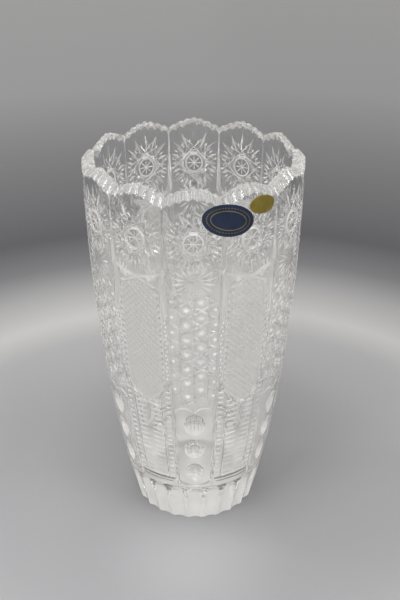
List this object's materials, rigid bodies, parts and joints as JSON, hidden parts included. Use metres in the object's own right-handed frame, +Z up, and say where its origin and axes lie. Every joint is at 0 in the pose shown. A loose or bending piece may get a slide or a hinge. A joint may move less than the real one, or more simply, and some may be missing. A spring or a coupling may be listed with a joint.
{
  "type": "vase",
  "caption": "Tapered cut-crystal vase with a lobed rim, cut stars, columns and hatched panels, a notched foot, and plain blue and gold oval labels.",
  "frame": {"origin": "centre of the foot on the surface the vase stands on", "axes": "+Z up along the vase's axis, -Y towards the front, where the labels are, just right of the middle"},
  "size_m": [0.139, 0.139, 0.255],
  "materials": {
    "crystal": "polished cut crystal",
    "blue_foil": "satin embossed foil paper",
    "gold_foil": "satin metallic foil paper"
  },
  "bodies": {
    "root": {"crystal_body": "crystal", "blue_oval_label": "blue_foil", "gold_oval_label": "gold_foil"}
  },
  "joints": []
}
